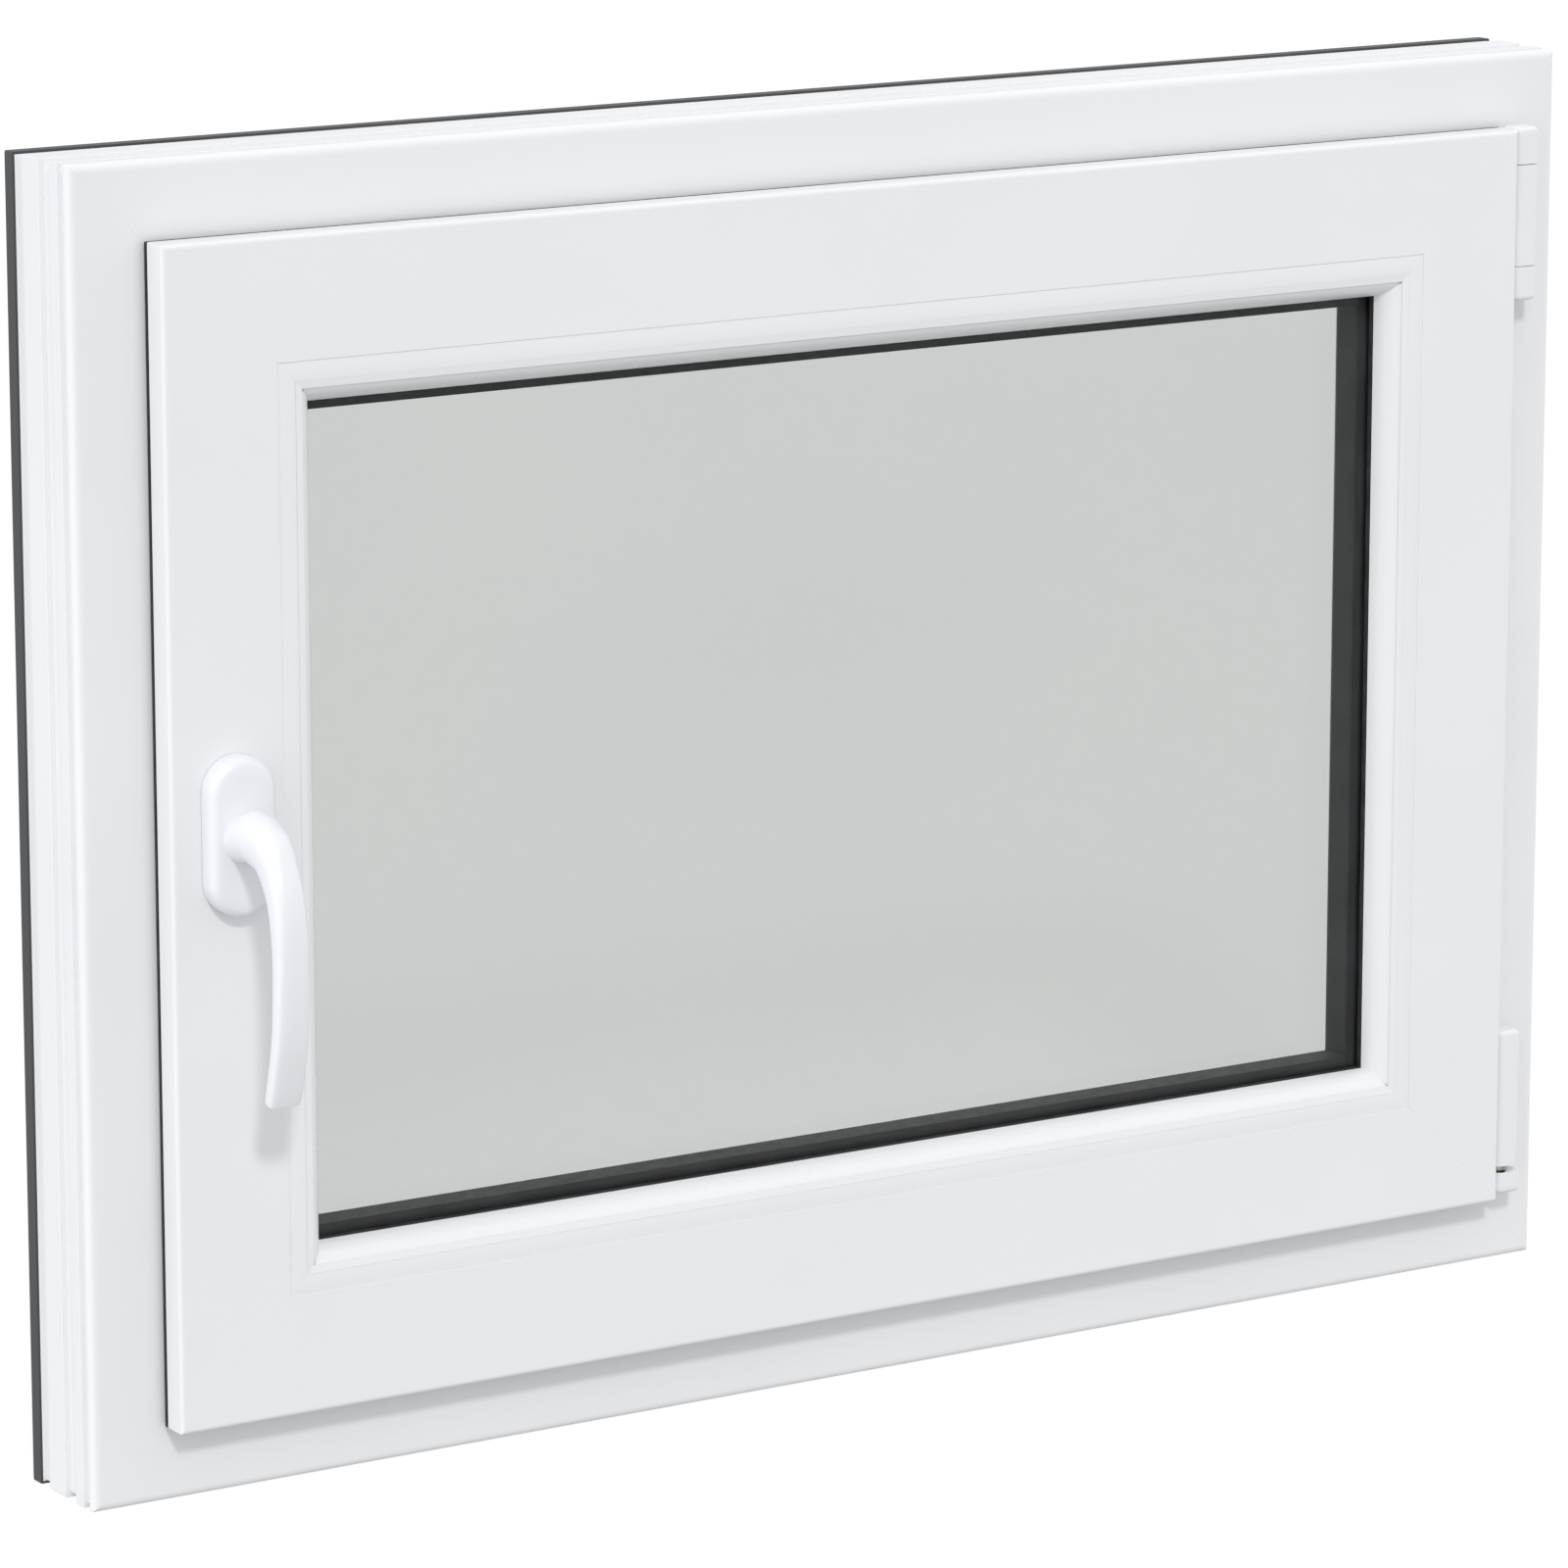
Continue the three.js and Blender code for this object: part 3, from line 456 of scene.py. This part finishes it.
def bead_outline():
    """The glazing bead's section: a soft slope from the sash's face down to the glass."""
    crown = BEAD_EDGE + 7
    slope = BEAD_EDGE + 13.4
    foot = BEAD_EDGE + 9
    over_glass = BEAD_BACK - 1.5
    return [
        (BEAD_OUTER, SASH_FACE + 0.35, 0.2),
        (crown, SASH_FACE - 0.1, 5),
        (slope, SASH_FACE + 1, 5),
        (SIGHT_LINE - 1.2, over_glass - 5.5, 3.4),
        (SIGHT_LINE, over_glass, ARRIS),
        (foot, over_glass),
        (foot, BEAD_BACK),
        (BEAD_OUTER, BEAD_BACK),
    ]


def foil_on_frame(u, y, margin=0.1):
    """The frame's weather side, with the strip that runs onto the wall side and its folded end."""
    return y > FOIL_FROM + margin or (y > FOIL_FROM - margin and u < FOIL_WRAP)


def foil_on_sash(_u, y):
    """The sash's weather side, from just behind the glass."""
    return y > GLASS_STOP + 1


def add_profiles():
    for side in SIDES:
        way = ALONG[side]
        finishes = (MATERIALS["white_pvc"][way], MATERIALS["anthracite"][way])

        bar = mitred_bar("frame_bar_" + side, frame_outline(), side, WELD)
        foil_where(paint(bar, *finishes), foil_on_frame)
        belongs(bar, "frame", "white_pvc", FRAME_NODES[side])

        bar = mitred_bar("sash_bar_" + side, sash_outline(), side, WELD)
        foil_where(paint(bar, *finishes), foil_on_sash)
        belongs(bar, "sash", "white_pvc", "sash_profile_" + side)

        bead = mitred_bar("bead_" + side, bead_outline(), side, BEAD_JOINT)
        paint(bead, finishes[0])
        belongs(bead, "sash", "white_pvc", "glazing_bead_" + side)


# ---- Handle -----------------------------------------------------------------------------------


def stadium(width, height, depth, fine=24):
    """A ring of window points round the spindle: an upright stadium at one depth."""
    radius = width / 2
    straight = height / 2 - radius
    points = []
    for k in range(2 * fine):
        angle = math.pi * (k + 0.5) / fine
        shift = straight if k < fine else -straight
        points.append(
            (
                SPINDLE_X + radius * math.cos(angle),
                depth,
                SPINDLE_Z + shift + radius * math.sin(angle),
            )
        )
    return points


# How the rosette's walls roll over into its face: millimetres inwards, and share of the full height.
ROSETTE_ROLL = [(0, 0.0), (0, 0.42), (0.25, 0.62), (0.9, 0.78), (2.0, 0.9), (3.6, 0.965), (6, 0.99), (9, 1.0)]


def add_rosette():
    """The handle's cover plate: upright walls that roll over into a gently domed face."""
    left, right = span("rosette_cover", X)
    bottom, top = span("rosette_cover", Z)
    front, back = span("rosette_cover", Y)
    width = right - left
    height = top - bottom
    rings = [
        stadium(width - 2 * inwards, height - 2 * inwards, back + (front - back) * rise)
        for inwards, rise in ROSETTE_ROLL
    ]
    cover = paint(loft("rosette", rings), MATERIALS["white_lacquer"])
    belongs(cover, "sash", "white_lacquer", "rosette_cover")


# Stations down the lever: depth, height, half width, half thickness, the way it heads in degrees
# below level, and how square its section is (2 is an ellipse).
LEVER = [
    (-28.6, 304, 11.4, 11.4, 0, 2),
    (-29.6, 304.1, 11.2, 11.3, 0, 2),
    (-31.5, 304.8, 10.9, 11.5, 0, 2),
    (-38, 306, 10.4, 12, 0, 2),
    (-44.7, 304.8, 9.7, 12, 10, 2.1),
    (-52.6, 301.6, 8.9, 11, 32, 2.3),
    (-58.4, 293.6, 8.1, 8.7, 58, 2.6),
    (-63.9, 282.4, 7.9, 7, 74, 2.9),
    (-67.1, 266, 8, 5.5, 83, 3.1),
    (-67.6, 245, 8.1, 4.7, 90, 3.3),
    (-65.7, 221.5, 8.1, 4.3, 98, 3.5),
    (-61.1, 201.4, 8.1, 4.1, 106, 3.6),
    (-58.2, 192.2, 7.8, 4, 108, 3.6),
    (-57.9, 191.4, 7.2, 3.5, 108, 3.6),
]
LEVER_SIDES = 40
LEVER_STEPS = 6  # rings from one station to the next


def between(stations, t):
    """A station at t, on a smooth Catmull-Rom curve through the stations."""
    last = len(stations) - 1
    i = min(int(t), last - 1)
    f = t - i
    near = [stations[max(0, min(last, i + k))] for k in (-1, 0, 1, 2)]
    return [
        0.5 * (2 * b + (c - a) * f + (2 * a - 5 * b + 4 * c - d) * f**2 + (3 * b - a - 3 * c + d) * f**3)
        for a, b, c, d in zip(*near)
    ]


def lever_ring(y, z, half_width, half_thick, down, square):
    """The lever's section at one station: an ellipse that can be drawn out towards a rectangle."""
    heading = math.radians(down)
    ring = []
    for k in range(LEVER_SIDES):
        angle = 2 * math.pi * k / LEVER_SIDES
        c = math.cos(angle)
        s = math.sin(angle)
        across = half_width * math.copysign(abs(c) ** (2 / square), c)
        up = half_thick * math.copysign(abs(s) ** (2 / square), s)
        ring.append((SPINDLE_X + across, y - up * math.sin(heading), z + up * math.cos(heading)))
    return ring


def add_lever():
    """The lever: a round neck that bends down into a flat grip with rounded edges."""
    last = LEVER_STEPS * (len(LEVER) - 1)
    rings = [lever_ring(*between(LEVER, step / LEVER_STEPS)) for step in range(last + 1)]
    lever = paint(loft("lever", rings), MATERIALS["white_lacquer"])
    belongs(lever, "handle", "white_lacquer", "handle_lever")


# ---- CAD nodes that stay ----------------------------------------------------------------------

# Finish, rounding of the edges in mm, and segments, for each node whose CAD shape is shown.
KEPT = {
    "white_cover": (
        0.4,
        3,
        ["stay_bearing", "stay_pin_cap", "lower_bearing", "stay_eye_cover", "corner_band_cover"],
    ),
    "zinc_steel": (
        0.35,
        2,
        [
            *("frame_steel_" + name for name in ("sill", "head", "handle_jamb", "hinge_jamb")),
            *("sash_steel_" + side for side in SIDES),
            "striker_lower",
            "striker_upper",
            "striker_head",
            "gearbox_case",
            "faceplate_handle_side",
            "faceplate_top",
            "handle_screw_lower",
            "handle_screw_upper",
            "corner_hinge_band",
            "drive_rod",
            "top_drive_rod",
            "stay_arm",
        ],
    ),
    "hard_steel": (
        0.25,
        2,
        [
            "stay_hinge_pin",
            "hinge_ball_pin",
            "handle_spindle",
            "drive_pinion",
            "locking_cam_lower",
            "locking_cam_upper",
        ],
    ),
    "nylon": (
        0.3,
        2,
        ["lower_bearing_bush", "rosette_base", "setting_block_left", "setting_block_right"],
    ),
    "black_rubber": (
        0.25,
        3,
        [
            "frame_rebate_gasket",
            "lap_gasket",
            "lap_gasket_hinge_side",
            "inner_glazing_gasket",
            "outer_glazing_gasket",
            "edge_seal",
        ],
    ),
    "spacer": (0.3, 2, ["spacer_bar"]),
    "float_glass": (0.3, 2, ["inner_pane", "outer_pane"]),
}


DRAIN_CAP_EDGE = {"width": 0.8, "segments": 4}


def soften(node, width, segments):
    """Rounds a CAD node's edges with modifiers, and leaves its mesh as it is."""
    weld = node.modifiers.new("weld", "WELD")
    weld.merge_threshold = 0.005 * MM
    flat = node.modifiers.new("flat_faces", "DECIMATE")
    flat.decimate_type = "DISSOLVE"
    flat.angle_limit = math.radians(1)
    bevel = node.modifiers.new("soft_edges", "BEVEL")
    bevel.width = width * MM
    bevel.segments = segments
    bevel.limit_method = "ANGLE"
    bevel.angle_limit = math.radians(40)
    bevel.harden_normals = False
    even_normals(node)


def keep_nodes():
    for finish, (width, segments, names) in KEPT.items():
        for name in names:
            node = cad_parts[name]
            paint(node, MATERIALS[finish])
            soften(node, width, segments)
    for name in ("inner_pane", "outer_pane"):
        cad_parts[name].visible_shadow = False
    for name in ("drain_cap_left", "drain_cap_right"):
        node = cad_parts[name]
        paint(node, MATERIALS["anthracite"]["level"])
        soften(node, **DRAIN_CAP_EDGE)


# ---- Studio -----------------------------------------------------------------------------------

FLOOR = {"half_width": 30, "glow": 0.87, "colours": ((0.145, 0.145, 0.145), (0.155, 0.155, 0.155))}
KEY = {"towards": (-0.39, -1, 0.84), "strength": 1.0, "softness": 7}  # softness is its width in degrees
# The walls' light: even all round, with more of it from both sides, from above and from the left.
WALLS = {"even": 0.565, "sides": 0.8, "above": 0.28, "left": 0.1, "darkest": 0.05}
WALL_COLOUR = (0.985, 0.992, 1.0, 1)
# Metres and degrees: from the handle side and a little above, as in the photograph.
CAMERA = {"location": (-1.8371, -2.8773, 1.0188), "yaw": 32.27, "pitch": 12.23, "lens": 172.2}


def add_floor():
    """A wide pale floor under the sill, lit from within like a light table so that shadows stay faint."""
    half = FLOOR["half_width"]
    mesh = bpy.data.meshes.new("floor")
    corners = [(-half, -half), (half, -half), (half, half), (-half, half)]
    mesh.from_pydata([(x, y, ORIGIN.z) for x, y in corners], [], [(0, 1, 2, 3)])
    floor = bpy.data.objects.new("floor", mesh)
    bpy.context.scene.collection.objects.link(floor)
    surface = Surface("pale_floor", 0.9)
    surface.colours(surface.noise(900, 2), *FLOOR["colours"])
    surface.shader.inputs["Emission Color"].default_value = (1, 1, 1, 1)
    surface.shader.inputs["Emission Strength"].default_value = FLOOR["glow"]
    surface.shader.inputs["Specular IOR Level"].default_value = 0.1
    paint(floor, surface.material)
    floor.visible_diffuse = False
    floor.visible_glossy = False


def add_key_light():
    """A soft key from the room, to the left and above."""
    light = bpy.data.lights.new("key", "SUN")
    light.energy = KEY["strength"]
    light.angle = math.radians(KEY["softness"])
    lamp = bpy.data.objects.new("key", light)
    lamp.rotation_euler = Vector(KEY["towards"]).to_track_quat("Z", "Y").to_euler()
    bpy.context.scene.collection.objects.link(lamp)


def add_walls():
    """The light of the studio's walls, as a world whose strength depends only on the direction."""
    world = bpy.data.worlds.new("studio")
    world.use_nodes = True
    nodes = world.node_tree.nodes
    links = world.node_tree.links

    def math_node(operation, a, b):
        node = nodes.new("ShaderNodeMath")
        node.operation = operation
        for socket, value in zip(node.inputs, (a, b)):
            if isinstance(value, (int, float)):
                socket.default_value = value
            else:
                links.new(value, socket)
        return node.outputs["Value"]

    direction = nodes.new("ShaderNodeSeparateXYZ")
    links.new(nodes.new("ShaderNodeTexCoord").outputs["Generated"], direction.inputs["Vector"])
    sideways = math_node("MULTIPLY", direction.outputs["X"], direction.outputs["X"])
    sides = math_node("MULTIPLY", sideways, WALLS["sides"])
    above = math_node("MULTIPLY", direction.outputs["Z"], WALLS["above"])
    left = math_node("MULTIPLY", direction.outputs["X"], -WALLS["left"])
    strength = math_node("ADD", math_node("ADD", sides, above), math_node("ADD", left, WALLS["even"]))
    background = nodes["Background"]
    background.inputs["Color"].default_value = WALL_COLOUR
    links.new(math_node("MAXIMUM", strength, WALLS["darkest"]), background.inputs["Strength"])
    bpy.context.scene.world = world


def add_camera():
    data = bpy.data.cameras.new("camera")
    data.sensor_width = 36
    data.lens = CAMERA["lens"]
    data.clip_end = 100
    camera = bpy.data.objects.new("camera", data)
    camera.location = CAMERA["location"]
    yaw = math.radians(CAMERA["yaw"])
    pitch = math.radians(CAMERA["pitch"])
    camera.rotation_euler = (math.pi / 2 - pitch, 0, -yaw)
    bpy.context.scene.collection.objects.link(camera)
    bpy.context.scene.camera = camera


add_profiles()
add_rosette()
add_lever()
keep_nodes()
add_floor()
add_walls()
add_key_light()
add_camera()
bpy.context.scene.view_settings.view_transform = "Standard"
